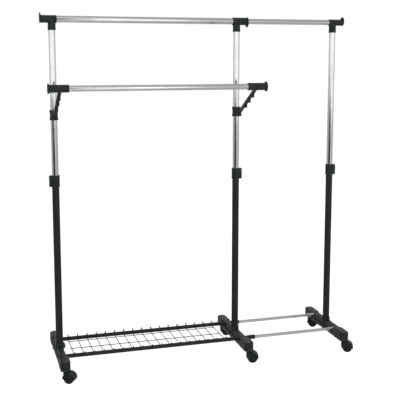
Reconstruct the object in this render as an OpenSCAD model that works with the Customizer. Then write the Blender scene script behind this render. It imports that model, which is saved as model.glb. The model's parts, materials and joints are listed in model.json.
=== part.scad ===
// Rolling clothes rack with two rails: a fixed bay, a bay that pulls out to the right,
// height-adjustable uprights and a wire shelf. +X is right, -Y is the front, +Z is up.
// The origin is on the floor, under the centre of the whole rack.

/* [Layout] */
// Distance from the left upright to the middle upright
bay_w = 737; // [640:1:800]
// Distance from the middle upright to the right upright, pulled out
extension_w = 423; // [400:1:440]
// Height of the top rail's centre line above the floor
top_rail_h = 1365; // [1330:1:1400]
// Height of the lower rail's centre line above the floor
lower_rail_h = 1112; // [1100:1:1130]
// Distance from the uprights forward to the lower rail
lower_rail_reach = 220; // [200:1:235]
// Length of each foot, front to back
foot_l = 384; // [370:1:420]

/* [Tubes] */
// Outer diameter of the black lower uprights
lower_tube_d = 28; // [27.6:0.1:28.4]
// Outer diameter of the chrome upper uprights
upper_tube_d = 25.4; // [25:0.1:25.4]
// Outer diameter of the main top rail
top_rail_d = 25.4; // [25:0.1:25.6]
// Outer diameter of the sliding top rail and of the lower rail
thin_rail_d = 22; // [21:0.1:22.4]
// Outer diameter of the two shelf tubes
shelf_tube_d = 16; // [15.6:0.1:16.4]
// Outer diameter of the two sliding shelf rods
shelf_rod_d = 13; // [12:0.1:13]
// Wall thickness of the uprights and rails
tube_wall = 1; // [0.8:0.1:1]
// Diameter of the shelf's wires
wire_d = 3; // [2.5:0.1:3.2]
// Number of cross wires in the shelf
wire_count = 17; // [11:1:17]

/* [Heights] */
// Bottom of each foot above the floor
foot_z = 48; // [47.8:0.1:49]
// Top of each foot above the floor
foot_top = 85; // [85:1:88]
// Centre line of the shelf tubes above the floor
shelf_z = 76; // [75:0.5:77]
// Bottom of the height collars
lock_z = 726; // [700:1:730]
// Bottom of the lower rail's bracket collars
bracket_z = 984; // [970:1:990]

/* [Casters] */
// Diameter of each caster wheel
wheel_d = 40; // [38:1:40]
// Distance from the swivel axis back to the wheel's axle
trail = 17; // [12:1:17]
// Distance from the uprights to each caster's swivel axis
caster_reach = 170; // [160:1:172]
// Swivel angles of the front casters: left, middle and right
front_swivel = [-31, -19, -26]; // [-60:1:60]
// Swivel angles of the rear casters: left, middle and right
rear_swivel = [-22, -10, -40]; // [-60:1:60]

/* [Hidden] */
$fn = 64;

// Clearances: a seat holds a fixed piece, a running fit guides, a free gap never touches
seat = 0.05;
running = 0.05;
free_gap = 0.3;

// Places of the three uprights along X, and of their plane along Y
left_x = -(bay_w + extension_w) / 2;
middle_x = left_x + bay_w;
right_x = -left_x;
holder_flange_r = 19.4;
upright_y = (lower_rail_reach + holder_flange_r - foot_l / 2) / 2;
lower_rail_y = upright_y - lower_rail_reach;

// Foot section
ridge_half = 12;
skirt_half = 17.5;
skirt_h = 14;
block_half = 19;
block_start = 84;
block_full = 116;
foot_h = foot_top - foot_z;
nose_y = foot_l / 2 - block_half;
shelf_tube_y = 99;
shelf_tube_wall = 1.2;
flare_h = 13;
flare_r = 17.5;
flare_seat_h = 14;
upright_seat_z = 56;

// Height collars and their levers
lock_h = 45;
lock_r = 16.8;
lock_lip_h = 9;
lever_pin_x = 20;
lever_pin_up = 35;
lever_pin_r = 1.5;
lever_half = 4.9;
ear_half = 8;

// Chrome uprights, their tees and bushes
stem_r = 14.9;
stem_drop = 41.5;
tee_in = 18;
tee_out = 45;
tee_wall = 5;
sleeve_wall = 1.7;
upper_tube_bottom = lock_z - 102;
bush_h = 18;
bush_plug_h = 15;
rail_overlap = 80;
flange_rise = 4.7;
flange_lip = 0.4;
flange_h = 2;
flange_cone_h = 4;
end_rim = 3;
end_recess = 1;
middle_sleeve_r = 14.8;
middle_flange_r = 20;
middle_flange_drop = 3.4;

// Lower rail brackets
bracket_h = 39;
bracket_r = 16.6;
holder_in = 30;
holder_out = 45;
holder_r = 14;
arm_w = 12;
arm_depth = 8.5;
arm_offset = 2;
arm_root = [-10, bracket_z + 3];
arm_tip = [6 - lower_rail_reach, lower_rail_h - 11]; // just inside the holder's wall
arm_l = norm(arm_tip - arm_root);
arm_angle = atan2(arm_tip[1] - arm_root[1], arm_root[0] - arm_tip[0]);
tooth_count = 3;
tooth_first = 110;
tooth_pitch = 45;
tooth_drop = 11.5;
tooth_r = 5;
lug_half = 9;
lug_reach = 35;
screw_z = bracket_z + 29;
screw_head_y = lug_reach - 3.6;
screw_head_h = 2.4;
screw_r = 2.5;

// Casters
hood_r = 24;
hood_cut_z = 16;
hood_half_w = 16.5;
wheel_gap_r = 21.2;
web_half = 3;
wheel_in = 3.6;
wheel_out = 16;
hub_wall = 3;
axle_r = 3;
stem_pin_r = 5;
stem_top = 70;

// --- Helpers -------------------------------------------------------------------

// Turns a solid built along +Z so that it runs along +X
module along_x() { rotate([0, 90, 0]) children(); }

// Turns a solid built along +Z so that it runs along -Y, towards the front
module along_front() { rotate([90, 0, 0]) children(); }

// A round bar along X from x0 to x1
module bar_x(x0, x1, r) { translate([x0, 0, 0]) along_x() cylinder(r = r, h = x1 - x0); }

// A round tube along Z, with its lower end at z = 0
module tube_z(d, wall, l) {
    difference() {
        cylinder(d = d, h = l);
        translate([0, 0, -1]) cylinder(d = d - 2 * wall, h = l + 2);
    }
}

// A round tube along X from x0 to x1
module tube_x(x0, x1, d, wall) { translate([x0, 0, 0]) along_x() tube_z(d, wall, x1 - x0); }

// A section with its base on y = 0 and its two top corners rounded
module round_topped(half_w, h, r) {
    translate([-half_w, 0]) square([2 * half_w, h - r]);
    translate([-half_w + r, 0]) square([2 * half_w - 2 * r, h]);
    for (s = [-1, 1]) translate([s * (half_w - r), h - r]) circle(r);
}

// --- Feet ----------------------------------------------------------------------

// Half of a foot's end block, in plan: it widens from the ridge and has a round nose
module block_outline(inner_half) {
    polygon([
        [-inner_half, block_start], [-block_half, block_full], [-block_half, nose_y],
        [block_half, nose_y], [block_half, block_full], [inner_half, block_start]
    ]);
    translate([0, nose_y]) circle(block_half);
}

// The solid outside of a foot: a ridge on a wider skirt, between two end blocks
module foot_solid() {
    rotate([90, 0, 0]) linear_extrude(2 * block_full, center = true)
        round_topped(ridge_half, foot_h, 4);
    rotate([90, 0, 0]) linear_extrude(2 * block_full, center = true)
        round_topped(skirt_half, skirt_h, 3);
    for (end = [0, 180]) rotate(end) {
        linear_extrude(foot_h - 4) block_outline(ridge_half);
        translate([0, nose_y, 0]) rotate([90, 0, 0]) linear_extrude(nose_y - block_full)
            round_topped(block_half, foot_h, 4);
        translate([0, nose_y, 0]) rotate_extrude() intersection() {
            round_topped(block_half, foot_h, 4);
            square([block_half, foot_h]);
        }
    }
    translate([0, 0, foot_h]) cylinder(r1 = flare_r, r2 = flare_r - 1.6, h = flare_h);
    translate([0, 0, foot_h - flare_seat_h]) cylinder(r = flare_r, h = flare_seat_h);
}

// The open cells under a foot
module foot_cells() {
    cell_half = 10.3;
    cell_h = foot_h - 4;
    for (end = [0, 180]) rotate(end) {
        translate([-cell_half, 20, -1]) cube([2 * cell_half, 28, cell_h + 1]);
        translate([-cell_half, 51, -1]) cube([2 * cell_half, 28, cell_h + 1]);
        translate([-cell_half, 121, -1]) cube([2 * cell_half, 28, cell_h + 1]);
    }
}

// One foot at x, with sockets for shelf bars of radius bar_r from bar_from to bar_to
module foot(x, bar_from, bar_to, bar_r) {
    translate([x, upright_y, foot_z]) difference() {
        foot_solid();
        foot_cells();
        translate([0, 0, upright_seat_z - foot_z])
            cylinder(d = lower_tube_d + 2 * seat, h = foot_h + flare_h);
        for (s = [-1, 1]) {
            translate([0, s * caster_reach, -1])
                cylinder(r = stem_pin_r + running, h = stem_top - foot_z + 2);
            translate([0, s * shelf_tube_y, shelf_z - foot_z])
                bar_x(bar_from, bar_to, bar_r + seat);
        }
    }
}

module left_foot() { color("#2a2e2c") foot(left_x, -9, 30, shelf_tube_d / 2); }
module middle_foot() { color("#2a2e2c") foot(middle_x, -30, 30, shelf_tube_d / 2); }
module right_foot() { color("#2a2e2c") foot(right_x, -30, 9, shelf_rod_d / 2); }

// --- Lower uprights and their height collars --------------------------------------

module lower_upright(x) {
    color("#262a29") translate([x, upright_y, upright_seat_z])
        tube_z(lower_tube_d, tube_wall, lock_z + lock_h - lock_lip_h - upright_seat_z);
}
module left_lower_upright() { lower_upright(left_x); }
module middle_lower_upright() { lower_upright(middle_x); }
module right_lower_upright() { lower_upright(right_x); }

// The collar's waisted outside, turned about the upright
module lock_barrel() {
    rotate_extrude() polygon([
        [0, 0], [lock_r - 1, 0], [lock_r, 1.5], [lock_r, 7], [lock_r - 0.9, 10],
        [lock_r - 0.9, lock_h - 10], [lock_r, lock_h - 7], [lock_r, lock_h - 1.5],
        [lock_r - 1, lock_h], [0, lock_h]
    ]);
}

// The lug on the collar's outer side, with two ears for the lever's pin
module lock_lug() {
    translate([8, -ear_half, 1]) cube([9.6, 2 * ear_half, lock_h - 2]);
    for (s = [0, 1]) mirror([0, s, 0]) translate([8, lever_half + free_gap, 1])
        cube([lever_pin_x + 4 - 8, ear_half - lever_half - free_gap, lock_h - 2]);
}

// A height collar; side is -1 where the lug points left and 1 where it points right
module height_collar(x, side) {
    color("#232726") translate([x, upright_y, lock_z]) mirror([side < 0 ? 1 : 0, 0, 0])
        difference() {
            union() {
                lock_barrel();
                lock_lug();
            }
            translate([0, 0, -1]) cylinder(d = lower_tube_d + 2 * seat, h = lock_h - lock_lip_h + 1);
            cylinder(d = upper_tube_d + 2 * free_gap, h = lock_h + 1);
            translate([lever_pin_x, lever_half + free_gap, lever_pin_up])
                along_front() cylinder(r = 4.4, h = 2 * (lever_half + free_gap));
            translate([lever_pin_x, ear_half + 1, lever_pin_up])
                along_front() cylinder(r = lever_pin_r + seat, h = 2 * ear_half + 2);
        }
}
module left_height_collar() { height_collar(left_x, -1); }
module middle_height_collar() { height_collar(middle_x, 1); }
module right_height_collar() { height_collar(right_x, 1); }

// The lever's side outline, in x and z from the upright's axis and the collar's bottom
module lever_outline() {
    translate([lever_pin_x, lever_pin_up]) circle(4);
    polygon([
        [18, lever_pin_up], [18, 8], [18.8, 3.5], [25, 3.5], [24.2, 8], [22.6, 14],
        [22.4, lever_pin_up - 8], [lever_pin_x + 4, lever_pin_up]
    ]);
}

module lock_lever(x, side) {
    color("#1b1e1d") translate([x, upright_y, lock_z]) mirror([side < 0 ? 1 : 0, 0, 0])
        difference() {
            translate([0, lever_half, 0]) rotate([90, 0, 0])
                linear_extrude(2 * lever_half) lever_outline();
            translate([lever_pin_x, lever_half + 1, lever_pin_up])
                along_front() cylinder(r = lever_pin_r + running, h = 2 * lever_half + 2);
        }
}
module left_lock_lever() { lock_lever(left_x, -1); }
module middle_lock_lever() { lock_lever(middle_x, 1); }
module right_lock_lever() { lock_lever(right_x, 1); }

module lever_pin(x, side) {
    color("silver") translate([x + side * lever_pin_x, upright_y + ear_half, lock_z + lever_pin_up])
        along_front() cylinder(r = lever_pin_r, h = 2 * ear_half);
}
module left_and_middle_lever_pins() {
    lever_pin(left_x, -1);
    lever_pin(middle_x, 1);
}
module right_lever_pin() { lever_pin(right_x, 1); }

// --- Shelf ---------------------------------------------------------------------

shelf_tube_end = middle_x + 46;
bush_end = middle_x + 52;

module shelf_tube(side) {
    color("#262a29") translate([0, upright_y + side * shelf_tube_y, shelf_z])
        tube_x(left_x - 9, shelf_tube_end, shelf_tube_d, shelf_tube_wall);
}
module front_shelf_tube() { shelf_tube(-1); }
module rear_shelf_tube() { shelf_tube(1); }

// Black end bushes that guide the sliding rods out of the shelf tubes
module shelf_rod_bushes() {
    color("#1e2220") for (side = [-1, 1])
        translate([0, upright_y + side * shelf_tube_y, shelf_z]) difference() {
            bar_x(shelf_tube_end - 18, bush_end, shelf_tube_d / 2 + 1);
            bar_x(shelf_tube_end - 19, shelf_tube_end, shelf_tube_d / 2 + seat);
            bar_x(shelf_tube_end - 1, bush_end + 1, shelf_rod_d / 2 + running);
        }
}

module shelf_rod(side) {
    color("gainsboro") translate([0, upright_y + side * shelf_tube_y, shelf_z])
        tube_x(middle_x - rail_overlap, right_x + 9, shelf_rod_d, tube_wall);
}
module front_shelf_rod() { shelf_rod(-1); }
module rear_shelf_rod() { shelf_rod(1); }

// The wires hook over both shelf tubes and hang a little below their tops
wire_inset = 47;
wire_end_gap = 71;
wire_span = bay_w - wire_inset - wire_end_gap;
wire_pitch = wire_span / (wire_count - 1);
wire_level = shelf_z - 5;
hook_r = shelf_tube_d / 2 + wire_d / 2 + free_gap;
rear_hook_rise = 6;
front_hook_rise = 0.8;

module cross_wire(x) {
    inner_y = shelf_tube_y - hook_r;
    translate([x, upright_y + inner_y, wire_level])
        along_front() cylinder(d = wire_d, h = 2 * inner_y);
    for (end = [0, 1]) translate([x, upright_y, 0]) mirror([0, end, 0]) {
        hook_z = shelf_z + (end == 0 ? rear_hook_rise : front_hook_rise);
        translate([0, inner_y, wire_level]) sphere(d = wire_d);
        translate([0, inner_y, wire_level]) cylinder(d = wire_d, h = hook_z - wire_level);
        translate([0, shelf_tube_y, hook_z]) rotate([90, 0, 90])
            rotate_extrude(angle = 180) translate([hook_r, 0]) circle(d = wire_d);
    }
}

module shelf_wire_grid() {
    color("#3a3e3d") union() {
        for (i = [0 : wire_count - 1]) cross_wire(left_x + wire_inset + i * wire_pitch);
        for (y = [-1, 0, 1])
            translate([0, upright_y + y * (shelf_tube_y - 17), wire_level - wire_d + 0.4])
                bar_x(left_x + wire_inset - 6, left_x + wire_inset + wire_span + 6, wire_d / 2);
    }
}

// --- Upper uprights, tees and top rails ----------------------------------------

upper_tube_top = top_rail_h - top_rail_d / 2 - 1;

module upper_upright(x) {
    color("gainsboro") translate([x, upright_y, upper_tube_bottom])
        tube_z(upper_tube_d, tube_wall, upper_tube_top - upper_tube_bottom);
}
module left_upper_upright() { upper_upright(left_x); }
module middle_upper_upright() { upper_upright(middle_x); }
module right_upper_upright() { upper_upright(right_x); }

// A plastic bush on the lower end of a chrome upright, running inside the black tube
module guide_bush(x) {
    color("white") translate([x, upright_y, upper_tube_bottom]) difference() {
        union() {
            translate([0, 0, -bush_h])
                cylinder(r = lower_tube_d / 2 - tube_wall - running, h = bush_h);
            cylinder(r = upper_tube_d / 2 - tube_wall - seat, h = bush_plug_h);
        }
        translate([0, 0, -bush_h - 1]) cylinder(r = 9, h = bush_h + bush_plug_h + 2);
    }
}
module left_and_middle_guide_bushes() {
    guide_bush(left_x);
    guide_bush(middle_x);
}
module right_guide_bush() { guide_bush(right_x); }

// The upright's socket under a tee
module tee_stem() {
    translate([0, 0, -stem_drop]) cylinder(r = stem_r, h = stem_drop);
}
module tee_stem_bore() {
    translate([0, 0, -stem_drop - 1])
        cylinder(d = upper_tube_d + 2 * seat, h = stem_drop + 1 - top_rail_d / 2 - 0.5);
}

// An end tee pointing left: a closed sleeve with a flared end plate that stands proud above
module end_tee(rail_r) {
    sleeve_r = rail_r + sleeve_wall;
    flange_r = sleeve_r + flange_rise + flange_lip;
    difference() {
        union() {
            bar_x(-tee_out, tee_in, sleeve_r);
            translate([-tee_out, 0, flange_rise]) bar_x(0, flange_h, flange_r);
            translate([flange_h - tee_out, 0, flange_rise]) along_x()
                cylinder(r1 = flange_r, r2 = sleeve_r - flange_rise - flange_lip, h = flange_cone_h);
            tee_stem();
        }
        translate([-tee_out, 0, flange_rise]) bar_x(-1, end_recess, flange_r - end_rim);
        bar_x(-tee_out + tee_wall, tee_in + 1, rail_r + seat);
        tee_stem_bore();
    }
}

module left_top_tee() {
    color("#2a2e2c") translate([left_x, upright_y, top_rail_h]) end_tee(top_rail_d / 2);
}
module right_top_tee() {
    color("#2a2e2c") translate([right_x, upright_y, top_rail_h]) mirror([1, 0, 0])
        end_tee(thin_rail_d / 2);
}

// The middle tee holds the main rail's end and lets the sliding rail run out to the right
main_rail_end = 25;
module middle_top_tee() {
    color("#2a2e2c") translate([middle_x, upright_y, top_rail_h]) difference() {
        union() {
            bar_x(-tee_in, tee_out, middle_sleeve_r);
            translate([tee_out - flange_h, 0, -middle_flange_drop]) {
                bar_x(0, flange_h, middle_flange_r);
                translate([-flange_cone_h, 0, 0]) along_x()
                    cylinder(r1 = middle_sleeve_r - middle_flange_drop - flange_lip,
                        r2 = middle_flange_r, h = flange_cone_h);
            }
            tee_stem();
        }
        bar_x(-tee_in - 1, main_rail_end, top_rail_d / 2 + seat);
        bar_x(main_rail_end - 1, tee_out + 1, thin_rail_d / 2 + free_gap);
        tee_stem_bore();
    }
}

module main_top_rail() {
    color("gainsboro") translate([0, upright_y, top_rail_h])
        tube_x(left_x - tee_out + tee_wall, middle_x + main_rail_end, top_rail_d, tube_wall);
}

sliding_rail_start = middle_x - rail_overlap;
module sliding_top_rail() {
    color("gainsboro") translate([0, upright_y, top_rail_h])
        tube_x(sliding_rail_start, right_x + tee_out - tee_wall, thin_rail_d, tube_wall);
}

// A plastic bush on the sliding rail's inner end, running inside the main rail
module sliding_rail_bush() {
    color("white") translate([sliding_rail_start, upright_y, top_rail_h]) difference() {
        union() {
            bar_x(-bush_h, 0, top_rail_d / 2 - tube_wall - running);
            bar_x(0, bush_plug_h, thin_rail_d / 2 - tube_wall - seat);
        }
        bar_x(-bush_h - 1, bush_plug_h + 1, 7.5);
    }
}

// --- Lower rail and its brackets -----------------------------------------------

// The collar that clamps the chrome upright, pinched at its waist
module bracket_barrel() {
    rotate_extrude() polygon([
        [0, 0], [bracket_r - 1.2, 0], [bracket_r + 0.3, 1.5], [bracket_r + 0.3, 5],
        [bracket_r - 1.6, 14], [bracket_r - 1.6, 25], [bracket_r + 0.3, 34],
        [bracket_r + 0.3, bracket_h - 1.5], [bracket_r - 1.2, bracket_h], [0, bracket_h]
    ]);
}

// The slanted arm and the short teeth under it, in y and z
module arm_outline() {
    translate(arm_root) rotate(180 - arm_angle) translate([0, -arm_depth / 2])
        square([arm_l, arm_depth]);
    for (i = [0 : tooth_count - 1]) translate(arm_root)
        translate([-cos(arm_angle), sin(arm_angle)] * (tooth_first + i * tooth_pitch)) {
            translate([-tooth_r, -tooth_drop]) square([2 * tooth_r, tooth_drop]);
            translate([0, -tooth_drop]) circle(tooth_r);
        }
}

// A bracket whose holder has its closed end on the left; the other one is its mirror image
module rail_bracket() {
    difference() {
        union() {
            translate([0, 0, bracket_z]) bracket_barrel();
            translate([-arm_offset - arm_w / 2, 0, 0]) rotate([90, 0, 90])
                linear_extrude(arm_w) arm_outline();
            translate([-arm_offset - lug_half, -lug_reach, bracket_z + 2])
                cube([2 * lug_half, lug_reach, bracket_h - 4]);
            translate([0, -lower_rail_reach, lower_rail_h]) {
                bar_x(-holder_out, holder_in, holder_r);
                bar_x(-holder_out, flange_h - holder_out, holder_flange_r);
                translate([flange_h - holder_out, 0, 0]) along_x()
                    cylinder(r1 = holder_flange_r, r2 = holder_r, h = 6);
            }
        }
        translate([0, 0, bracket_z - 1]) cylinder(d = upper_tube_d + 2 * free_gap, h = bracket_h + 2);
        translate([0, -lower_rail_reach, lower_rail_h])
            bar_x(-holder_out + tee_wall, holder_in + 1, thin_rail_d / 2 + seat);
        translate([-holder_out, -lower_rail_reach, lower_rail_h])
            bar_x(-1, end_recess, holder_flange_r - end_rim);
        translate([-arm_offset, -screw_head_y, screw_z]) along_front() cylinder(r = 4.1, h = 20);
        translate([-arm_offset, 0, screw_z]) along_front() cylinder(r = screw_r + seat, h = lug_reach);
    }
}
module left_rail_bracket() {
    color("#2a2e2c") translate([left_x, upright_y, 0]) rail_bracket();
}
module middle_rail_bracket() {
    color("#2a2e2c") translate([middle_x, upright_y, 0]) mirror([1, 0, 0]) rail_bracket();
}

module lower_rail() {
    color("gainsboro") translate([0, lower_rail_y, lower_rail_h])
        tube_x(left_x - holder_out + tee_wall, middle_x + holder_out - tee_wall,
            thin_rail_d, tube_wall);
}

// Cross-head screws that clamp the brackets; each tip stops just short of the chrome tube
module bracket_clamp_screws() {
    tip_y = upper_tube_d / 2 + 0.4;
    color("silver") for (x = [left_x - arm_offset, middle_x + arm_offset])
        translate([x, upright_y, screw_z]) difference() {
            union() {
                translate([0, -screw_head_y, 0]) along_front() cylinder(r = 4, h = screw_head_h);
                translate([0, -tip_y, 0]) along_front()
                    cylinder(r = screw_r, h = screw_head_y + 1 - tip_y);
            }
            for (turn = [0, 90])
                translate([0, -screw_head_y - screw_head_h, 0]) rotate([0, turn, 0])
                    cube([4.6, 2.4, 0.9], center = true);
        }
}

// --- Casters ---------------------------------------------------------------------

// A caster's own frame: the swivel axis is Z, and the wheels trail towards +X
module caster_place(x, side, swivel) {
    translate([x, upright_y + side * caster_reach, 0]) rotate(swivel) children();
}

// A round bar along the axle's direction, centred on the wheels
module across(r, half_l) {
    translate([trail, half_l, wheel_d / 2]) along_front() cylinder(r = r, h = 2 * half_l);
}

module caster_housing() {
    boss_r = 9;
    boss_top = foot_z - 2.2;
    color("#1f2322") difference() {
        union() {
            intersection() {
                across(hood_r, hood_half_w);
                translate([-20, -25, hood_cut_z]) cube([70, 50, 60]);
            }
            across(boss_r, web_half);
            translate([0, 0, wheel_d / 2]) cylinder(r = boss_r, h = boss_top - wheel_d / 2);
        }
        for (s = [0, 1]) mirror([0, s, 0]) translate([trail, -web_half, wheel_d / 2])
            along_front() cylinder(r = wheel_gap_r, h = 30);
        across(axle_r + running, web_half + 1);
        translate([0, 0, boss_top - 8]) cylinder(r = stem_pin_r + seat, h = 20);
    }
}

module caster_stem() {
    color("silver") {
        translate([0, 0, foot_z - 10]) cylinder(r = stem_pin_r, h = stem_top - foot_z + 10);
        translate([0, 0, foot_z - 2.1]) cylinder(r = 8.5, h = 1.7);
    }
}

// Two wheels, each with a rounded tread and a dished outer face
module caster_wheels() {
    r = wheel_d / 2;
    w = wheel_out - wheel_in;
    tread_round = 3;
    color("#191b1b") translate([trail, 0, r]) for (s = [0, 1]) mirror([0, s, 0])
        translate([0, -wheel_in, 0]) along_front() rotate_extrude() difference() {
            union() {
                square([r, w - tread_round]);
                square([r - tread_round, w]);
                translate([r - tread_round, w - tread_round]) circle(tread_round);
            }
            translate([6, w - 2.5]) square([8.5, 3]);
            translate([-1, -1]) square([axle_r + seat + 1, w + 1 - hub_wall]);
        }
}

module caster_axle() {
    color("silver") across(axle_r, wheel_out - hub_wall - 0.2);
}

module left_front_caster_housing() { caster_place(left_x, -1, front_swivel[0]) caster_housing(); }
module left_front_caster_stem() { caster_place(left_x, -1, front_swivel[0]) caster_stem(); }
module left_front_caster_wheels() { caster_place(left_x, -1, front_swivel[0]) caster_wheels(); }
module left_front_caster_axle() { caster_place(left_x, -1, front_swivel[0]) caster_axle(); }
module middle_front_caster_housing() { caster_place(middle_x, -1, front_swivel[1]) caster_housing(); }
module middle_front_caster_stem() { caster_place(middle_x, -1, front_swivel[1]) caster_stem(); }
module middle_front_caster_wheels() { caster_place(middle_x, -1, front_swivel[1]) caster_wheels(); }
module middle_front_caster_axle() { caster_place(middle_x, -1, front_swivel[1]) caster_axle(); }
module right_front_caster_housing() { caster_place(right_x, -1, front_swivel[2]) caster_housing(); }
module right_front_caster_stem() { caster_place(right_x, -1, front_swivel[2]) caster_stem(); }
module right_front_caster_wheels() { caster_place(right_x, -1, front_swivel[2]) caster_wheels(); }
module right_front_caster_axle() { caster_place(right_x, -1, front_swivel[2]) caster_axle(); }
module left_rear_caster_housing() { caster_place(left_x, 1, rear_swivel[0]) caster_housing(); }
module left_rear_caster_stem() { caster_place(left_x, 1, rear_swivel[0]) caster_stem(); }
module left_rear_caster_wheels() { caster_place(left_x, 1, rear_swivel[0]) caster_wheels(); }
module left_rear_caster_axle() { caster_place(left_x, 1, rear_swivel[0]) caster_axle(); }
module middle_rear_caster_housing() { caster_place(middle_x, 1, rear_swivel[1]) caster_housing(); }
module middle_rear_caster_stem() { caster_place(middle_x, 1, rear_swivel[1]) caster_stem(); }
module middle_rear_caster_wheels() { caster_place(middle_x, 1, rear_swivel[1]) caster_wheels(); }
module middle_rear_caster_axle() { caster_place(middle_x, 1, rear_swivel[1]) caster_axle(); }
module right_rear_caster_housing() { caster_place(right_x, 1, rear_swivel[2]) caster_housing(); }
module right_rear_caster_stem() { caster_place(right_x, 1, rear_swivel[2]) caster_stem(); }
module right_rear_caster_wheels() { caster_place(right_x, 1, rear_swivel[2]) caster_wheels(); }
module right_rear_caster_axle() { caster_place(right_x, 1, rear_swivel[2]) caster_axle(); }

// --- The model -------------------------------------------------------------------

left_foot();
middle_foot();
right_foot();
left_lower_upright();
middle_lower_upright();
right_lower_upright();
left_height_collar();
middle_height_collar();
right_height_collar();
left_lock_lever();
middle_lock_lever();
right_lock_lever();
left_and_middle_lever_pins();
right_lever_pin();
front_shelf_tube();
rear_shelf_tube();
shelf_wire_grid();
shelf_rod_bushes();
front_shelf_rod();
rear_shelf_rod();
left_upper_upright();
middle_upper_upright();
right_upper_upright();
left_and_middle_guide_bushes();
right_guide_bush();
left_top_tee();
middle_top_tee();
right_top_tee();
main_top_rail();
sliding_top_rail();
sliding_rail_bush();
left_rail_bracket();
middle_rail_bracket();
lower_rail();
bracket_clamp_screws();
left_front_caster_housing();
left_front_caster_stem();
left_front_caster_wheels();
left_front_caster_axle();
left_rear_caster_housing();
left_rear_caster_stem();
left_rear_caster_wheels();
left_rear_caster_axle();
middle_front_caster_housing();
middle_front_caster_stem();
middle_front_caster_wheels();
middle_front_caster_axle();
middle_rear_caster_housing();
middle_rear_caster_stem();
middle_rear_caster_wheels();
middle_rear_caster_axle();
right_front_caster_housing();
right_front_caster_stem();
right_front_caster_wheels();
right_front_caster_axle();
right_rear_caster_housing();
right_rear_caster_stem();
right_rear_caster_wheels();
right_rear_caster_axle();
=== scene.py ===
"""Looks for the rolling clothes rack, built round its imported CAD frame. Everything is in metres.
+X is right, towards the bay that pulls out, -Y is the front and +Z is up."""

import json
import math

import bmesh
import bpy
from mathutils import Matrix, Vector


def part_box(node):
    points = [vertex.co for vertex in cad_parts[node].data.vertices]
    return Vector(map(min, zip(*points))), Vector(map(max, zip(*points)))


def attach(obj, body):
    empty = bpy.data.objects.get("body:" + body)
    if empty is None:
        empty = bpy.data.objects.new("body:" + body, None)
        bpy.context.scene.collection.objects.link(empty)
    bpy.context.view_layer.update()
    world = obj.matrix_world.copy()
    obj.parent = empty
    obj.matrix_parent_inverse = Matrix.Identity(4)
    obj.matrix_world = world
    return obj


MM = 0.001

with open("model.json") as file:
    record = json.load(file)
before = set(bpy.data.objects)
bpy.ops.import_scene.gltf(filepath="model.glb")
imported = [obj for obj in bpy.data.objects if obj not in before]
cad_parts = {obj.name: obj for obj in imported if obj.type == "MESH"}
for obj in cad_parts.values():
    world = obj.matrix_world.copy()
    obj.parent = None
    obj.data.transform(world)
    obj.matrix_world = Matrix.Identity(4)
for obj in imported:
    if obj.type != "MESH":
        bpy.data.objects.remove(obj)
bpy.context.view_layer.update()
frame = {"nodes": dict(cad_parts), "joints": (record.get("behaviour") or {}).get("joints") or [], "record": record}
nodes = frame["nodes"]
scene = bpy.context.scene

# ---------------------------------------------------------------- camera

CAMERA_PLACE = (-0.940, -3.115, 1.225)
CAMERA_YAW = 0.292  # radians to the right of +Y
CAMERA_PITCH = 0.141  # radians below the horizon
CAMERA_LENS = 73.2
CAMERA_SENSOR = 36
CAMERA_SHIFT_Y = -0.07
CAMERA_NEAR = 0.05
CAMERA_FAR = 200

camera_data = bpy.data.cameras.new("camera")
camera = bpy.data.objects.new("camera", camera_data)
scene.collection.objects.link(camera)
camera.location = CAMERA_PLACE
camera.rotation_euler = (math.pi / 2 - CAMERA_PITCH, 0, -CAMERA_YAW)
camera_data.lens = CAMERA_LENS
camera_data.sensor_width = CAMERA_SENSOR
camera_data.shift_y = CAMERA_SHIFT_Y
camera_data.clip_start = CAMERA_NEAR
camera_data.clip_end = CAMERA_FAR
scene.camera = camera
scene.view_settings.view_transform = "Standard"

# ---------------------------------------------------------------- shader helpers


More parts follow.
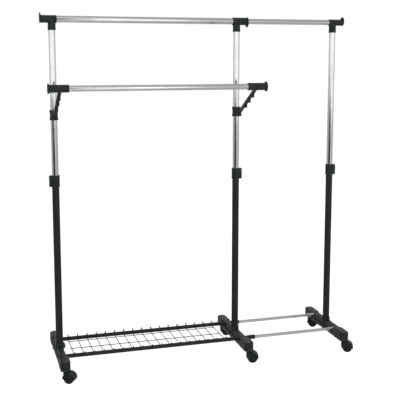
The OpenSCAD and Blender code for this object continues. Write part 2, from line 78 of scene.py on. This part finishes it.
class Shader:
    """A small builder for one node tree: new() adds a node, link() joins sockets."""

    def __init__(self, tree):
        self.tree = tree
        tree.nodes.clear()

    def new(self, kind, **settings):
        node = self.tree.nodes.new(kind)
        for name, value in settings.items():
            setattr(node, name, value)
        return node

    def link(self, source, target):
        self.tree.links.new(source, target)

    def noise(self, vector, scale, detail=3.0, rough=0.55):
        n = self.new("ShaderNodeTexNoise")
        n.inputs["Scale"].default_value = scale
        n.inputs["Detail"].default_value = detail
        n.inputs["Roughness"].default_value = rough
        self.link(vector, n.inputs["Vector"])
        return n.outputs["Fac"]

    def stretched(self, vector, scale):
        """The same coordinates, scaled apart on each axis."""
        m = self.new("ShaderNodeMapping")
        m.inputs["Scale"].default_value = scale
        self.link(vector, m.inputs["Vector"])
        return m.outputs["Vector"]

    def math(self, operation, *values):
        m = self.new("ShaderNodeMath", operation=operation)
        for socket, value in zip(m.inputs, values):
            if isinstance(value, (int, float)):
                socket.default_value = value
            else:
                self.link(value, socket)
        return m.outputs[0]

    def times(self, first, *others):
        """The product of all its values."""
        for value in others:
            first = self.math("MULTIPLY", first, value)
        return first

    def window(self, value, low, high, soft):
        """1 between low and high and 0 outside, with soft edges."""
        rise = self.between(value, low - soft, low + soft, 0.0, 1.0, "SMOOTHSTEP")
        fall = self.between(value, high - soft, high + soft, 1.0, 0.0, "SMOOTHSTEP")
        return self.times(rise, fall)

    def between(self, value, low, high, out_low, out_high, shape="LINEAR"):
        """value from low to high becomes out_low to out_high, held outside that."""
        m = self.new("ShaderNodeMapRange", interpolation_type=shape)
        ends = {"From Min": low, "From Max": high, "To Min": out_low, "To Max": out_high}
        for name, number in ends.items():
            m.inputs[name].default_value = number
        self.link(value, m.inputs["Value"])
        return m.outputs["Result"]

    def dimmed(self, mask, share):
        """1 where mask is 0, down to 1 - share where mask is 1."""
        return self.between(mask, 0.0, 1.0, 1.0, 1.0 - share)

    def ramp(self, value, stops):
        """Each of the stops is (place from 0 to 1, colour)."""
        r = self.new("ShaderNodeValToRGB")
        r.color_ramp.interpolation = "EASE"
        while len(r.color_ramp.elements) < len(stops):
            r.color_ramp.elements.new(0.5)
        for element, (place, colour) in zip(r.color_ramp.elements, stops):
            element.position = place
            element.color = (*colour, 1)
        self.link(value, r.inputs["Fac"])
        return r.outputs["Color"]

    def mixed(self, factor, first, second):
        """first where factor is 0 and second where it is 1. Each is a colour or a socket."""
        m = self.new("ShaderNodeMix", data_type="RGBA")
        self.link(factor, m.inputs["Factor"])
        for socket, value in ((m.inputs["A"], first), (m.inputs["B"], second)):
            if isinstance(value, tuple):
                socket.default_value = (*value, 1)
            else:
                self.link(value, socket)
        return m.outputs["Result"]

    def bump(self, height, distance, strength, after=None):
        """A bumped normal, laid over the one from after."""
        b = self.new("ShaderNodeBump")
        b.inputs["Distance"].default_value = distance
        b.inputs["Strength"].default_value = strength
        self.link(height, b.inputs["Height"])
        if after is not None:
            self.link(after, b.inputs["Normal"])
        return b.outputs["Normal"]


def material(name):
    """A new material and its Shader, with a Principled shader already on the output."""
    m = bpy.data.materials.new(name)
    m.use_nodes = True
    s = Shader(m.node_tree)
    output = s.new("ShaderNodeOutputMaterial")
    surface = s.new("ShaderNodeBsdfPrincipled")
    s.link(surface.outputs["BSDF"], output.inputs["Surface"])
    place = s.new("ShaderNodeTexCoord").outputs["Object"]
    return m, s, surface, place


UP_FROM = 0.2
UP_FULL = 0.95


def upward(s):
    """How far the surface faces up, from 0 to 1."""
    split = s.new("ShaderNodeSeparateXYZ")
    s.link(s.new("ShaderNodeNewGeometry").outputs["Normal"], split.inputs["Vector"])
    return s.between(split.outputs["Z"], UP_FROM, UP_FULL, 0.0, 1.0)


# ---------------------------------------------------------------- materials

DUST_COLOUR = (0.22, 0.22, 0.21)
DUST_MOST = 0.07
RUB_GAIN = 1.9  # a rubbed streak against the coat's light colour
RUB_MOST = 0.35
TARNISH_GAIN = 0.86
TARNISH_MOST = 0.6


def moulded_plastic(name, dark, light, roughness, grain, gloss):
    """Moulded plastic: mottled colour, spark-eroded grain, and a little dust on what faces up."""
    m, s, surface, place = material(name)
    clouds = s.noise(place, scale=28, detail=4)
    grains = s.noise(place, scale=1500, detail=2)
    ripples = s.noise(place, scale=60, detail=2)
    body = s.ramp(clouds, [(0.32, dark), (0.72, light)])
    patches = s.between(s.noise(place, scale=90, detail=5), 0.42, 0.75, 0.0, DUST_MOST)
    dusty = s.times(upward(s), patches)
    s.link(s.mixed(dusty, body, DUST_COLOUR), surface.inputs["Base Color"])
    worn = s.between(clouds, 0.3, 0.7, roughness - 0.06, roughness + 0.07)
    s.link(worn, surface.inputs["Roughness"])
    surface.inputs["Specular IOR Level"].default_value = gloss
    flow = s.bump(ripples, distance=0.4 * MM, strength=0.25)
    grained = s.bump(grains, distance=0.06 * MM * grain, strength=0.6, after=flow)
    s.link(grained, surface.inputs["Normal"])
    return m


def powder_coat(name, dark, light, roughness, gloss):
    """Powder coat on steel: orange peel, and rubbed streaks where the coat has been handled."""
    m, s, surface, place = material(name)
    clouds = s.noise(place, scale=12, detail=3)
    peel = s.noise(place, scale=420, detail=2)
    streaks = s.noise(s.stretched(place, (60, 60, 9)), scale=5, detail=5)
    rubs = s.between(streaks, 0.60, 0.78, 0.0, RUB_MOST)
    body = s.ramp(clouds, [(0.3, dark), (0.7, light)])
    rubbed = tuple(RUB_GAIN * c for c in light)
    s.link(s.mixed(rubs, body, rubbed), surface.inputs["Base Color"])
    worn = s.between(peel, 0.3, 0.7, roughness - 0.05, roughness + 0.06)
    s.link(worn, surface.inputs["Roughness"])
    surface.inputs["Specular IOR Level"].default_value = gloss
    s.link(s.bump(peel, distance=0.08 * MM, strength=0.55), surface.inputs["Normal"])
    return m


def plated(name, colour, roughness, along, streak_depth):
    """Bright plate on drawn tube: faint draw lines along it, handling haze and a slight waviness."""
    m, s, surface, place = material(name)
    drawn = tuple(3 if axis == along else 900 for axis in "xyz")
    rolled = tuple(2.2 if axis == along else 9 for axis in "xyz")
    lines = s.noise(s.stretched(place, drawn), scale=1, detail=3)
    waves = s.noise(s.stretched(place, rolled), scale=1, detail=1)
    haze = s.noise(place, scale=17, detail=5, rough=0.65)
    tarnished = tuple(TARNISH_GAIN * c for c in colour)
    tarnish = s.between(haze, 0.45, 0.75, 0.0, TARNISH_MOST)
    s.link(s.mixed(tarnish, colour, tarnished), surface.inputs["Base Color"])
    surface.inputs["Metallic"].default_value = 1
    s.link(s.between(haze, 0.35, 0.75, roughness, roughness + 0.09), surface.inputs["Roughness"])
    wavy = s.bump(waves, distance=0.6 * MM, strength=0.3)
    streaked = s.bump(lines, distance=streak_depth, strength=0.35, after=wavy)
    s.link(streaked, surface.inputs["Normal"])
    return m


MATERIALS = {
    "moulded_black": moulded_plastic(
        "moulded_black", dark=(0.0072, 0.0112, 0.0096), light=(0.0150, 0.0215, 0.0190),
        roughness=0.42, grain=1.0, gloss=0.32,
    ),
    "lever_black": moulded_plastic(
        "lever_black", dark=(0.0055, 0.0085, 0.0075), light=(0.0095, 0.0135, 0.012),
        roughness=0.5, grain=1.6, gloss=0.28,
    ),
    "wheel_black": moulded_plastic(
        "wheel_black", dark=(0.0058, 0.0090, 0.0078), light=(0.0115, 0.0160, 0.0142),
        roughness=0.38, grain=0.7, gloss=0.3,
    ),
    "bush_white": moulded_plastic(
        "bush_white", dark=(0.66, 0.66, 0.63), light=(0.74, 0.74, 0.71),
        roughness=0.45, grain=0.5, gloss=0.5,
    ),
    "powder_black": powder_coat(
        "powder_black", dark=(0.0076, 0.0104, 0.0090), light=(0.0112, 0.0146, 0.0126),
        roughness=0.36, gloss=0.34,
    ),
    "coated_wire": powder_coat(
        "coated_wire", dark=(0.0145, 0.0185, 0.0165), light=(0.0240, 0.0290, 0.0262),
        roughness=0.4, gloss=0.4,
    ),
    "chrome_upright": plated(
        "chrome_upright", colour=(0.87, 0.88, 0.88), roughness=0.065, along="z",
        streak_depth=0.002 * MM,
    ),
    "chrome_rail": plated(
        "chrome_rail", colour=(0.84, 0.845, 0.83), roughness=0.065, along="x",
        streak_depth=0.002 * MM,
    ),
    "zinc_steel": plated(
        "zinc_steel", colour=(0.24, 0.245, 0.25), roughness=0.34, along="y",
        streak_depth=0.01 * MM,
    ),
}


def finish_of(slot, node):
    """The material of a slot. Chrome has its draw lines along the tube, up or across."""
    if slot != "chrome":
        return MATERIALS[slot]
    return MATERIALS["chrome_upright" if node.endswith("_upper_upright") else "chrome_rail"]


def paint(obj, made):
    obj.data.materials.clear()
    obj.data.materials.append(made)


EDGE_WIDTH = {
    "moulded_black": 0.9 * MM,
    "lever_black": 0.6 * MM,
    "wheel_black": 0.5 * MM,
    "bush_white": 0.3 * MM,
}
EDGE_SEGMENTS = 2
SHARP_EDGE = math.radians(34)
FLAT_WITHIN = math.radians(0.4)


def soften(obj, width):
    """Rounds a CAD piece's sharp edges as a mould does, without touching its own mesh."""
    flat = obj.modifiers.new("flat_faces", "DECIMATE")
    flat.decimate_type = "DISSOLVE"
    flat.angle_limit = FLAT_WITHIN
    edge = obj.modifiers.new("edges", "BEVEL")
    edge.width = width
    edge.segments = EDGE_SEGMENTS
    edge.limit_method = "ANGLE"
    edge.angle_limit = SHARP_EDGE
    edge.harden_normals = True


for subpart in frame["record"]["subparts"]:
    node = subpart["node"]
    slot = subpart["material_slot"]
    paint(nodes[node], finish_of(slot, node))
    if slot in EDGE_WIDTH:
        soften(nodes[node], EDGE_WIDTH[slot])

# ---------------------------------------------------------------- mesh helpers


def centre(node):
    low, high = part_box(node)
    return (low + high) / 2


def turned(direction):
    """A rotation that takes +Z to direction."""
    return Vector(direction).to_track_quat("Z", "Y").to_matrix().to_4x4()


def skin(bm, rings, closed=False):
    """Joins each ring of vertices to the next with faces. A ring of one vertex is a point."""
    pairs = list(zip(rings, rings[1:])) + ([(rings[-1], rings[0])] if closed else [])
    for low, high in pairs:
        steps = max(len(low), len(high))
        for i in range(steps):
            j = (i + 1) % steps
            corners = [low[i % len(low)], low[j % len(low)], high[j % len(high)], high[i % len(high)]]
            unique = [v for k, v in enumerate(corners) if v not in corners[:k]]
            bm.faces.new(unique)


def lathe(bm, profile, origin, direction, steps=48, closed=False):
    """Adds a turned shape to bm. The profile's points are (radius, height) along direction."""
    place = Matrix.Translation(Vector(origin)) @ turned(direction)
    rings = []
    for radius, height in profile:
        ring = []
        for i in range(steps if radius > 0 else 1):
            angle = 2 * math.pi * i / steps
            spot = Vector((radius * math.cos(angle), radius * math.sin(angle), height))
            ring.append(bm.verts.new(place @ spot))
        rings.append(ring)
    skin(bm, rings, closed)


def ring_profile(inner, outer, bottom, top, round_by):
    """A closed ring section with rounded outer corners."""
    r = round_by
    mid = 0.3 * r  # the middle of a quarter circle stands this far inside its corner
    return [
        (inner, bottom), (outer - r, bottom), (outer - mid, bottom + mid), (outer, bottom + r),
        (outer, top - r), (outer - mid, top - mid), (outer - r, top), (inner, top),
    ]


def rounded_bar(bm, size, place, round_by):
    """Adds a box of that size with its edges rounded, moved by place."""
    made = bmesh.ops.create_cube(bm, size=1)
    bmesh.ops.scale(bm, vec=size, verts=made["verts"])
    edges = list({e for v in made["verts"] for e in v.link_edges})
    cut = bmesh.ops.bevel(
        bm, geom=edges, offset=round_by, segments=EDGE_SEGMENTS, affect="EDGES", profile=0.6,
    )
    verts = {v for f in cut["faces"] for v in f.verts}
    bmesh.ops.transform(bm, matrix=place, verts=list(verts))


def piece(name, bm, body, slot):
    """Turns bm into a named object that rides on body and takes slot's finish."""
    bmesh.ops.recalc_face_normals(bm, faces=bm.faces)
    mesh = bpy.data.meshes.new(name)
    bm.to_mesh(mesh)
    bm.free()
    for polygon in mesh.polygons:
        polygon.use_smooth = True
    mesh.set_sharp_from_angle(angle=SHARP_EDGE)
    obj = bpy.data.objects.new(name, mesh)
    scene.collection.objects.link(obj)
    paint(obj, MATERIALS[slot])
    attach(obj, body)
    return obj


# ---------------------------------------------------------------- tees and rail holders

RAIL_Z = centre("main_top_rail").z
UPRIGHT_Y = centre("left_upper_upright").y
SLEEVE_WALL = 1.7 * MM
MIDDLE_SLEEVE_R = 14.8 * MM
STEM_R = 14.9 * MM
FLANGE_RISE = 4.7 * MM
DISC_MARGIN = 2.6 * MM  # from the rail's radius to the end disc's
END_RECESS = 1 * MM
LIP_W = 2.6 * MM
LIP_RISE = 0.55 * MM
LIP_ROOT = 0.4 * MM
LIP_INSET = 0.5 * MM  # from the mouth's face back to the lip


def lip(bm, radius, origin, direction):
    """A raised lip round a moulded mouth, standing back from it along direction."""
    section = ring_profile(radius - LIP_ROOT, radius + LIP_RISE, 0, LIP_W, 0.35 * MM)
    lathe(bm, section, origin, direction, closed=True)


def end_disc(bm, radius, origin, direction):
    """The moulded face in a closed end's recess: a ring, a shallow dish and a centre pip."""
    profile = [
        (radius, -0.3 * MM), (radius, 0.35 * MM), (radius - 0.5 * MM, 0.7 * MM),
        (radius - 1.6 * MM, 0.7 * MM), (radius - 2.4 * MM, 0.15 * MM), (3.2 * MM, 0.15 * MM),
        (2.4 * MM, 0.6 * MM), (1.2 * MM, 0.85 * MM), (0, 0.9 * MM),
    ]
    floor_of_recess = Vector(origin) - END_RECESS * Vector(direction)
    lathe(bm, profile, floor_of_recess, direction)


TEES = [
    # name, body, rail node inside, x direction in which the mouth with a lip looks
    ("left", "upper_frame", "main_top_rail", 1),
    ("middle", "upper_frame", "main_top_rail", -1),
    ("right", "upper_extension", "sliding_top_rail", -1),
]
for name, body, rail, mouth in TEES:
    low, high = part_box(f"{name}_top_tee")
    axis_x = centre(f"{name}_upper_upright").x
    rail_low, rail_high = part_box(rail)
    rail_r = (rail_high.z - rail_low.z) / 2
    sleeve_r = MIDDLE_SLEEVE_R if name == "middle" else rail_r + SLEEVE_WALL
    mouth_x = high.x if mouth > 0 else low.x
    bm = bmesh.new()
    lip(bm, sleeve_r, (mouth_x - LIP_INSET * mouth, UPRIGHT_Y, RAIL_Z), (-mouth, 0, 0))
    lip(bm, STEM_R, (axis_x, UPRIGHT_Y, low.z + LIP_INSET), (0, 0, 1))
    piece(f"{name}_tee_lips", bm, body, "moulded_black")
    if name != "middle":
        end_x = low.x if mouth > 0 else high.x
        bm = bmesh.new()
        end_disc(bm, rail_r + DISC_MARGIN, (end_x, UPRIGHT_Y, RAIL_Z + FLANGE_RISE), (-mouth, 0, 0))
        piece(f"{name}_tee_end_disc", bm, body, "moulded_black")

LOWER_RAIL = centre("lower_rail")
HOLDER_R = 14 * MM
HOLDER_DISC_R = 13 * MM
for name, outward in (("left", -1), ("middle", 1)):
    low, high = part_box(f"{name}_rail_bracket")
    end_x = low.x if outward < 0 else high.x
    mouth_x = high.x if outward < 0 else low.x
    bm = bmesh.new()
    lip(bm, HOLDER_R, (mouth_x + LIP_INSET * outward, LOWER_RAIL.y, LOWER_RAIL.z), (outward, 0, 0))
    end_disc(bm, HOLDER_DISC_R, (end_x, LOWER_RAIL.y, LOWER_RAIL.z), (outward, 0, 0))
    piece(f"{name}_holder_details", bm, "lower_rail_carrier", "moulded_black")

SCREWS_LOW, SCREWS_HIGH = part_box("bracket_clamp_screws")
SCREW_Z = (SCREWS_LOW.z + SCREWS_HIGH.z) / 2
SCREW_R = (SCREWS_HIGH.z - SCREWS_LOW.z) / 2
LUG_REACH = 35 * MM
SCREW_RIM = ring_profile(
    inner=SCREW_R + 0.15 * MM, outer=SCREW_R + 1.4 * MM, bottom=-0.3 * MM, top=0.6 * MM,
    round_by=0.3 * MM,
)
for name, screw_x in (("left", SCREWS_LOW.x + SCREW_R), ("middle", SCREWS_HIGH.x - SCREW_R)):
    bm = bmesh.new()
    lathe(bm, SCREW_RIM, (screw_x, UPRIGHT_Y - LUG_REACH, SCREW_Z), (0, -1, 0), closed=True)
    piece(f"{name}_screw_rim", bm, "lower_rail_carrier", "moulded_black")

# ---------------------------------------------------------------- height collars and levers

WAIST_R = 15.9 * MM
RIB_COUNT = 22
RIB_SIZE = (0.9 * MM, 1.5 * MM, 23 * MM)
RIB_ROUND = 0.3 * MM
LUG_ANGLE = math.radians(52)  # the ribs leave this much free on each side of the lever
LEVER_FACE = 22.5 * MM
RIDGE_COUNT = 5
RIDGE_START = 12.5 * MM
RIDGE_PITCH = 2.5 * MM
RIDGE_DEPTH = 1.4 * MM
RIDGE_HEIGHT = 1.2 * MM
RIDGE_ROUND = 0.35 * MM
RIDGE_MARGIN = 1.6 * MM  # a ridge is this much narrower than the lever
COLLARS = [
    # name, x direction of its lever, body of its foot and lower upright
    ("left", -1, "base_frame"),
    ("middle", 1, "base_frame"),
    ("right", 1, "right_base"),
]
for name, side, base in COLLARS:
    low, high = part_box(f"{name}_height_collar")
    axis = centre(f"{name}_lower_upright")
    middle_z = (low.z + high.z) / 2
    start = LUG_ANGLE + (math.pi if side < 0 else 0)
    bm = bmesh.new()
    for i in range(RIB_COUNT):
        angle = start + (i + 0.5) / RIB_COUNT * (2 * math.pi - 2 * LUG_ANGLE)
        spin = Matrix.Rotation(angle, 4, "Z")
        spot = Vector((axis.x, axis.y, middle_z)) + spin @ Vector((WAIST_R, 0, 0))
        rounded_bar(bm, RIB_SIZE, Matrix.Translation(spot) @ spin, RIB_ROUND)
    piece(f"{name}_collar_ribs", bm, base, "moulded_black")

    lever_low, lever_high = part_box(f"{name}_lock_lever")
    ridge_size = (RIDGE_DEPTH, lever_high.y - lever_low.y - RIDGE_MARGIN, RIDGE_HEIGHT)
    bm = bmesh.new()
    for i in range(RIDGE_COUNT):
        ridge_z = lever_low.z + RIDGE_START + i * RIDGE_PITCH
        spot = Vector((axis.x + side * LEVER_FACE, axis.y, ridge_z))
        rounded_bar(bm, ridge_size, Matrix.Translation(spot), RIDGE_ROUND)
    piece(f"{name}_lever_ridges", bm, f"{name}_lever", "lever_black")

# ---------------------------------------------------------------- feet

SOCKET_RISE = 13 * MM  # the socket's mouth over the foot's ridge
GUSSET_HALF_W = 1.3 * MM
GUSSET_ROUND = 0.4 * MM
# A thin rib that falls from the socket's rim to the ridge: (out from the upright, up from the ridge)
GUSSET = [
    (15.2 * MM, 11.5 * MM), (17.6 * MM, 11.5 * MM), (27 * MM, 0.6 * MM), (27 * MM, -1 * MM),
    (15.2 * MM, -1 * MM),
]


def gusset(bm, x, y, z, end):
    """Adds one gusset that starts at an upright's axis (x, y) and a ridge's height z."""
    sides = []
    for side_x in (x - GUSSET_HALF_W, x + GUSSET_HALF_W):
        sides.append([bm.verts.new((side_x, y + end * out, z + up)) for out, up in GUSSET])
    bm.faces.new(sides[0])
    bm.faces.new(list(reversed(sides[1])))
    skin(bm, [sides[0], sides[1]])


for name, _, base in COLLARS:
    foot_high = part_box(f"{name}_foot")[1]
    axis = centre(f"{name}_lower_upright")
    bm = bmesh.new()
    for end in (-1, 1):
        gusset(bm, axis.x, axis.y, foot_high.z - SOCKET_RISE, end)
    gussets = piece(f"{name}_foot_gussets", bm, base, "moulded_black")
    rounding = gussets.modifiers.new("edges", "BEVEL")
    rounding.width = GUSSET_ROUND
    rounding.segments = EDGE_SEGMENTS

# ---------------------------------------------------------------- shelf

GRID_LOW, GRID_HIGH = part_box("shelf_wire_grid")
WIRE_R = 1.5 * MM
WIRE_COUNT = 17
WIRE_OVERHANG = 6 * MM
LONG_WIRE_Y = 82 * MM
CROSS_WIRE_RISE = 4.1 * MM  # from the grid's lowest point to the cross wires' axes
WELD_RISE = 1.85 * WIRE_R
WELD_STEPS = 10
WELD = [
    (0, -1.2 * MM), (1.5 * MM, -1.0 * MM), (2.3 * MM, -0.3 * MM), (2.3 * MM, 0.3 * MM),
    (1.5 * MM, 1.0 * MM), (0, 1.2 * MM),
]
first_x = GRID_LOW.x + WIRE_OVERHANG
pitch = (GRID_HIGH.x - WIRE_OVERHANG - first_x) / (WIRE_COUNT - 1)
grid_y = (GRID_LOW.y + GRID_HIGH.y) / 2
bm = bmesh.new()
for i in range(WIRE_COUNT):
    for row in (-1, 0, 1):
        spot = (first_x + i * pitch, grid_y + row * LONG_WIRE_Y, GRID_LOW.z + WELD_RISE)
        lathe(bm, WELD, spot, (0, 0, 1), steps=WELD_STEPS)
piece("shelf_welds", bm, "base_frame", "coated_wire")

# The imported grid has lost the riser and the hook of its fourth cross wire at the rear tube.
# This piece fills their place. It is a wire that rises, and then bends
# over the tube in half a circle.
LOST_WIRE = 3
HOOK_R = 9.8 * MM
HOOK_STEPS = 24
WIRE_STEPS = 16
hook_x = first_x + LOST_WIRE * pitch
hook_y = GRID_HIGH.y - WIRE_R - HOOK_R
hook_z = GRID_HIGH.z - WIRE_R - HOOK_R
stations = [(0.0, GRID_LOW.z + CROSS_WIRE_RISE)]
stations += [(math.pi * i / HOOK_STEPS, hook_z) for i in range(HOOK_STEPS + 1)]
bm = bmesh.new()
rings = []
for bend, centre_z in stations:
    ring = []
    for j in range(WIRE_STEPS):
        around = 2 * math.pi * j / WIRE_STEPS
        reach = HOOK_R + WIRE_R * math.cos(around)
        x = hook_x + WIRE_R * math.sin(around)
        y = hook_y - reach * math.cos(bend)
        z = centre_z + reach * math.sin(bend)
        ring.append(bm.verts.new((x, y, z)))
    rings.append(ring)
skin(bm, rings)
bm.faces.new(rings[0])
bm.faces.new(rings[-1])
piece("shelf_fourth_rear_hook", bm, "base_frame", "coated_wire")

BUSH_LOW, BUSH_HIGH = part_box("shelf_rod_bushes")
BUSH_INSET = 2 * MM  # from the left bushes' outer face to their lip
bush_r = (BUSH_HIGH.z - BUSH_LOW.z) / 2
bush_z = BUSH_LOW.z + bush_r
bm = bmesh.new()
for y in (BUSH_LOW.y + bush_r, BUSH_HIGH.y - bush_r):
    lip(bm, bush_r, (BUSH_HIGH.x - LIP_INSET, y, bush_z), (-1, 0, 0))
    lip(bm, bush_r, (BUSH_LOW.x + BUSH_INSET, y, bush_z), (1, 0, 0))
piece("rod_bush_lips", bm, "base_frame", "moulded_black")

# ---------------------------------------------------------------- casters

WHEEL_FACE = 16 * MM
HUB_STEPS = 32
HUB_CAP = [
    (5.2 * MM, -2.2 * MM), (5.2 * MM, 0.1 * MM), (4.9 * MM, 0.45 * MM), (3.6 * MM, 0.75 * MM),
    (2.2 * MM, 0.6 * MM), (1.0 * MM, 0.35 * MM), (0, 0.3 * MM),
]
SPOKE_COUNT = 8
SPOKE_SIZE = (9.2 * MM, 1.5 * MM, 2.4 * MM)
SPOKE_ROUND = 0.35 * MM
SPOKE_PLACE = Matrix.Translation((10.2 * MM, 0, -1.6 * MM))  # from the middle of the wheel's face
for joint in frame["joints"]:
    if not joint["name"].endswith("_roll"):
        continue
    caster = joint["name"].removesuffix("_roll")
    origin = Vector(joint["pos_m"])
    axle = Vector(joint["axis"]).normalized()
    bm = bmesh.new()
    for side in (-1, 1):
        face = origin + side * WHEEL_FACE * axle
        lathe(bm, HUB_CAP, face, side * axle, steps=HUB_STEPS)
        place = Matrix.Translation(face) @ turned(side * axle)
        for i in range(SPOKE_COUNT):
            spin = Matrix.Rotation(2 * math.pi * i / SPOKE_COUNT, 4, "Z")
            rounded_bar(bm, SPOKE_SIZE, place @ spin @ SPOKE_PLACE, SPOKE_ROUND)
    piece(f"{caster}_hub_details", bm, f"{caster}_roller", "wheel_black")

# ---------------------------------------------------------------- floor and lights

FLOOR_R = 40
FLOOR_STEPS = 96
FLOOR_SEEN = (0.2, 0.2, 0.2)
FLOOR_LIT = (0.88, 0.88, 0.88)
FLOOR_GLOW = 0.92

bm = bmesh.new()
bmesh.ops.create_circle(bm, cap_ends=True, radius=FLOOR_R, segments=FLOOR_STEPS)
floor_mesh = bpy.data.meshes.new("floor")
bm.to_mesh(floor_mesh)
bm.free()
floor = bpy.data.objects.new("floor", floor_mesh)
scene.collection.objects.link(floor)
floor.visible_glossy = False

# The camera sees the floor as plain white with a trace of shade, and the rack gets a light grey one.
floor_finish, s, surface, _ = material("floor")
paint(floor, floor_finish)
seen = s.new("ShaderNodeLightPath").outputs["Is Camera Ray"]
s.link(s.mixed(seen, FLOOR_LIT, FLOOR_SEEN), surface.inputs["Base Color"])
s.link(s.times(seen, FLOOR_GLOW), surface.inputs["Emission Strength"])
surface.inputs["Emission Color"].default_value = (1, 1, 1, 1)
surface.inputs["Roughness"].default_value = 0.9
surface.inputs["Specular IOR Level"].default_value = 0.1

LIGHT_TARGET = Vector((0, 0, 0.7))
LIGHT_SIZE = 2.5


def area_light(name, place, power):
    """A soft light that looks at the middle of the rack. It lights, and the room is what reflects."""
    data = bpy.data.lights.new(name, "AREA")
    data.size = LIGHT_SIZE
    data.energy = power
    lamp = bpy.data.objects.new(name, data)
    scene.collection.objects.link(lamp)
    lamp.location = place
    lamp.rotation_euler = (LIGHT_TARGET - Vector(place)).to_track_quat("-Z", "Y").to_euler()
    lamp.visible_camera = False
    lamp.visible_glossy = False


area_light("key", place=(-2.4, -2.8, 3.4), power=95)
area_light("fill", place=(3.0, -1.8, 2.2), power=85)
area_light("rim", place=(0.4, 3.4, 3.0), power=60)

# ---------------------------------------------------------------- studio room

# The camera sees plain white. The plating reflects a room with grey walls, a level bright band at
# eye height, a tall soft box to the right of the camera with a dark curtain beside it, and a dark
# floor to the left. Sectors are (from, to, softness) in degrees to the right of the rack's front,
# and what rises or falls does so from one angle to another. Heights are (from, to, softness) in
# the upward part of the direction, which runs from -1 to 1.
WALL = 0.43
BAND_SECTOR = (-78, 55, 22)
BAND_HEIGHTS = (-0.072, 0.080, 0.014)
BAND_FRONT = 0.66
BAND_ROUND = 0.14  # the band outside its sector, all round the room
BAND_LIFT = 0.0226  # the band and the dark floor stand this much higher on the left
LIFT_FALLING = (-27, -7)
BOX = 0.95
BOX_RISING = (8.4, 9.8)
BOX_FALLING = (14.8, 18.8)
BOX_FADE = [(0.0, (1, 1, 1)), (0.55, (0.5, 0.5, 0.5)), (1.0, (0.2, 0.2, 0.2))]  # by steepness
DARK_SHARE = 0.9
DARK_SECTOR = (-76, 6, 16)
DARK_HEIGHTS = (-0.34, -0.073, 0.022)
CURTAIN_SHARE = 0.7
CURTAIN_SECTOR = (1.0, 8.0, 0.8)
PANEL_DEPTH = 0.85
PANEL_ACROSS = 0.55
PANEL_ACROSS_RATE = 2.0
PANEL_ACROSS_PHASE = 0.9
PANEL_UP = 0.45
PANEL_UP_RATE = 9.0
PANEL_HEIGHTS = (0.225, 0.70, 0.075)  # both up and down, so that the eye-level ring stays plain
PLAIN_SECTOR = (5, 29, 3)  # the rails' own sector, which has no panels

world = bpy.data.worlds.new("studio")
world.use_nodes = True
scene.world = world
s = Shader(world.node_tree)
split = s.new("ShaderNodeSeparateXYZ")
s.link(s.new("ShaderNodeTexCoord").outputs["Generated"], split.inputs["Vector"])
rise = split.outputs["Z"]
steep = s.math("ABSOLUTE", rise)
turn = s.math("ARCTAN2", split.outputs["X"], s.times(split.outputs["Y"], -1.0))


def sector(degrees):
    return s.window(turn, *(math.radians(angle) for angle in degrees))


def edge(degrees, out_low, out_high, shape="SMOOTHSTEP"):
    low, high = (math.radians(angle) for angle in degrees)
    return s.between(turn, low, high, out_low, out_high, shape)


lift = edge(LIFT_FALLING, -BAND_LIFT, 0.0, "LINEAR")
level = s.math("ADD", rise, lift)
band_light = s.between(sector(BAND_SECTOR), 0.0, 1.0, BAND_ROUND, BAND_FRONT)
band = s.times(s.window(level, *BAND_HEIGHTS), band_light)
box = s.times(edge(BOX_RISING, 0.0, 1.0), edge(BOX_FALLING, 1.0, 0.0), s.ramp(steep, BOX_FADE), BOX)
dark = s.times(sector(DARK_SECTOR), s.window(level, *DARK_HEIGHTS))

across = s.math("COSINE", s.math("MULTIPLY_ADD", turn, PANEL_ACROSS_RATE, PANEL_ACROSS_PHASE))
up = s.math("SINE", s.times(rise, PANEL_UP_RATE))
panels = s.math("ADD", s.times(across, PANEL_ACROSS), s.times(up, PANEL_UP))
panelled = s.times(s.window(steep, *PANEL_HEIGHTS), s.dimmed(sector(PLAIN_SECTOR), 1.0))
wall = s.times(s.math("ADD", s.times(panels, PANEL_DEPTH, panelled), 1.0), WALL)
wall = s.times(wall, s.dimmed(dark, DARK_SHARE), s.dimmed(sector(CURTAIN_SECTOR), CURTAIN_SHARE))

room = s.new("ShaderNodeBackground")
s.link(s.math("ADD", wall, s.math("MAXIMUM", band, box)), room.inputs["Color"])
backdrop = s.new("ShaderNodeBackground")
backdrop.inputs["Color"].default_value = (1, 1, 1, 1)
backdrop.inputs["Strength"].default_value = 1.0
chosen = s.new("ShaderNodeMixShader")
s.link(s.new("ShaderNodeLightPath").outputs["Is Camera Ray"], chosen.inputs["Fac"])
s.link(room.outputs["Background"], chosen.inputs[1])
s.link(backdrop.outputs["Background"], chosen.inputs[2])
s.link(chosen.outputs["Shader"], s.new("ShaderNodeOutputWorld").inputs["Surface"])
